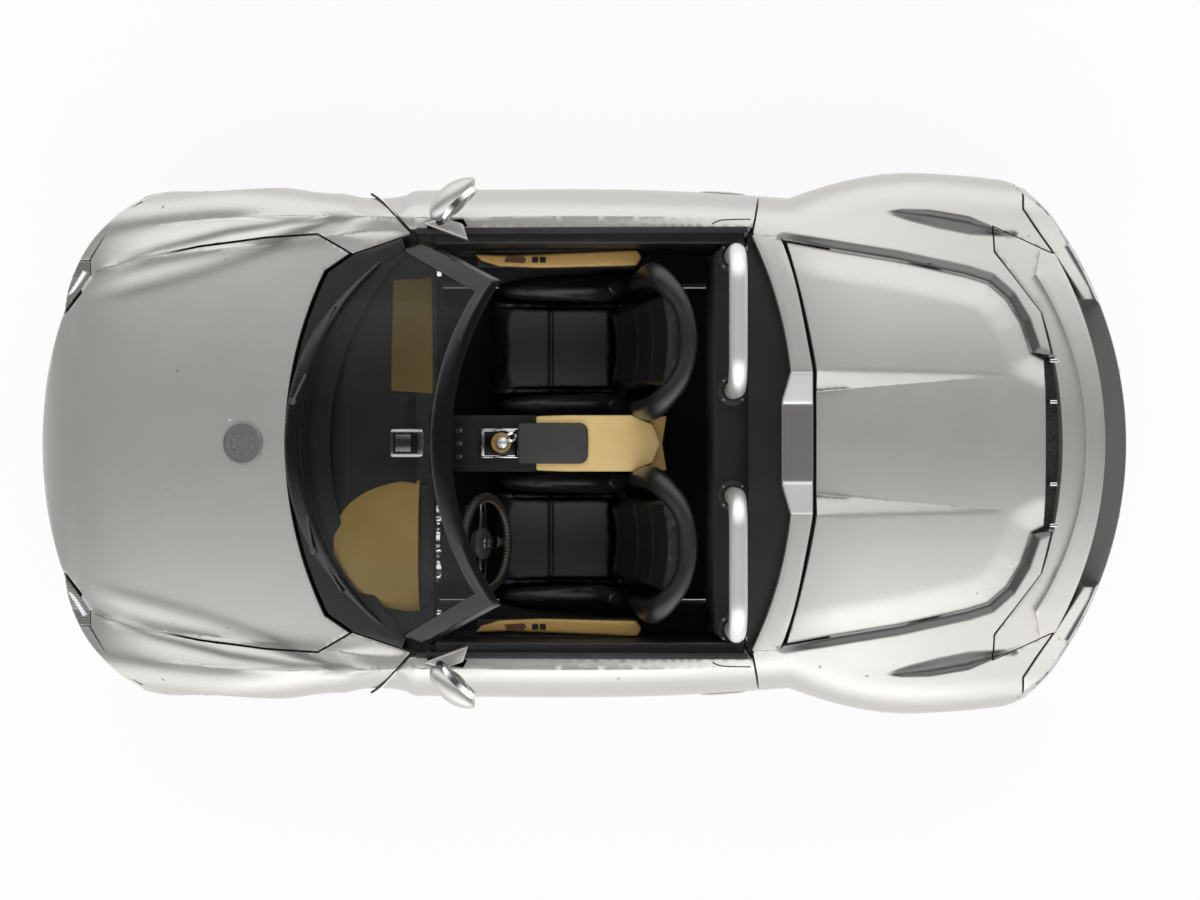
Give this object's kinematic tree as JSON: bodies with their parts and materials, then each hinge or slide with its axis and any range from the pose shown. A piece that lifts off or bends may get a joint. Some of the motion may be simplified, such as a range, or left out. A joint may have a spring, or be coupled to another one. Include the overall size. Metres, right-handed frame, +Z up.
{
  "type": "two-seat roadster convertible car",
  "caption": "Open roadster car with a mid engine, steered and freely turning wheels, opening doors, bonnet and rear lid, and roll hoops behind the seats.",
  "frame": {"origin": "centre of the car's footprint on the ground", "axes": "+X towards the tail, +Y towards the car's right, +Z up"},
  "size_m": [3.79, 1.843, 1.17],
  "materials": {
    "silver_paint": "metallic clear coat",
    "black_plastic": "grained",
    "black_frame": "satin",
    "screen_glass": "clear, light green tint",
    "lamp_glass": "clear lens over silver",
    "tail_glass": "dark red lens",
    "black_leather": "fine grain",
    "tan_leather": "fine grain",
    "black_carpet": "short pile",
    "polished_steel": "polished tube",
    "cast_alloy": "as cast",
    "exhaust_steel": "brushed",
    "wheel_alloy": "painted silver",
    "tyre_rubber": "treaded"
  },
  "bodies": {
    "chassis": {"cabin_tub": "black_carpet", "centre_console": "tan_leather", "cowl_panel": "black_plastic", "dashboard": "black_leather", "engine_block": "cast_alloy", "exhaust": "exhaust_steel", "front_bumper": "silver_paint", "front_fender_left": "silver_paint", "front_fender_right": "silver_paint", "front_grille": "black_plastic", "front_subframe": "cast_alloy", "headlamps": "lamp_glass", "luggage_tub": "black_carpet", "rear_arch": "silver_paint", "rear_bulkhead": "black_carpet", "rear_bumper": "silver_paint", "rear_quarter_left": "silver_paint", "rear_quarter_right": "silver_paint", "rear_subframe": "cast_alloy", "roll_hoops": "polished_steel", "seat_backs": "black_leather", "seat_cushions": "black_leather", "side_sills": "silver_paint", "steering_column": "black_plastic", "tail_lamps": "tail_glass", "tail_panel": "silver_paint", "windscreen_frame": "black_frame", "windscreen_glass": "screen_glass"},
    "bonnet": {"bonnet": "silver_paint"},
    "rear_lid": {"rear_lid": "silver_paint"},
    "steering_wheel": {"steering_wheel": "black_leather"},
    "door_left": {"door_left": "silver_paint", "door_trim_left": "tan_leather"},
    "door_right": {"door_right": "silver_paint", "door_trim_right": "tan_leather"},
    "knuckle_left": {"knuckle_left": "cast_alloy"},
    "knuckle_right": {"knuckle_right": "cast_alloy"},
    "wheel_front_left": {"rim_front_left": "wheel_alloy", "tyre_front_left": "tyre_rubber"},
    "wheel_front_right": {"rim_front_right": "wheel_alloy", "tyre_front_right": "tyre_rubber"},
    "wheel_rear_left": {"rim_rear_left": "wheel_alloy", "tyre_rear_left": "tyre_rubber", "half_shaft_left": "cast_alloy"},
    "wheel_rear_right": {"rim_rear_right": "wheel_alloy", "tyre_rear_right": "tyre_rubber", "half_shaft_right": "cast_alloy"}
  },
  "joints": [
    {"name": "steer_left", "type": "hinge", "parent": "chassis", "child": "knuckle_left", "pos_m": [-1.17, -0.695, 0.325], "axis": [0, 0, 1], "range_deg": [-32, 32]},
    {"name": "steer_right", "type": "hinge", "parent": "chassis", "child": "knuckle_right", "pos_m": [-1.17, 0.695, 0.325], "axis": [0, 0, 1], "range_deg": [-32, 32]},
    {"name": "steering_wheel_turn", "type": "hinge", "parent": "chassis", "child": "steering_wheel", "pos_m": [-0.326, -0.335, 0.8], "axis": [0.9063, 0, 0.4226], "range_deg": [-450, 450]},
    {"name": "bonnet_hinge", "type": "hinge", "parent": "chassis", "child": "bonnet", "pos_m": [-0.775, 0, 0.79], "axis": [0, 1, 0], "range_deg": [0, 50]},
    {"name": "rear_lid_hinge", "type": "hinge", "parent": "chassis", "child": "rear_lid", "pos_m": [0.6, 0, 0.97], "axis": [0, -1, 0], "range_deg": [0, 60]},
    {"name": "door_left_hinge", "type": "hinge", "parent": "chassis", "child": "door_left", "pos_m": [-0.7, -0.843, 0.5], "axis": [0, 0, -1], "range_deg": [0, 65]},
    {"name": "door_right_hinge", "type": "hinge", "parent": "chassis", "child": "door_right", "pos_m": [-0.7, 0.843, 0.5], "axis": [0, 0, 1], "range_deg": [0, 65]},
    {"name": "spin_front_left", "type": "hinge", "parent": "knuckle_left", "child": "wheel_front_left", "pos_m": [-1.17, -0.735, 0.325], "axis": [0, 1, 0], "continuous": true},
    {"name": "spin_front_right", "type": "hinge", "parent": "knuckle_right", "child": "wheel_front_right", "pos_m": [-1.17, 0.735, 0.325], "axis": [0, 1, 0], "continuous": true},
    {"name": "spin_rear_left", "type": "hinge", "parent": "chassis", "child": "wheel_rear_left", "pos_m": [1.19, -0.757, 0.325], "axis": [0, 1, 0], "continuous": true},
    {"name": "spin_rear_right", "type": "hinge", "parent": "chassis", "child": "wheel_rear_right", "pos_m": [1.19, 0.757, 0.325], "axis": [0, 1, 0], "continuous": true}
  ],
  "couplings": [
    {"joint": "steer_right", "follows": "steer_left", "ratio": 1},
    {"joint": "steering_wheel_turn", "follows": "steer_left", "ratio": 14}
  ]
}
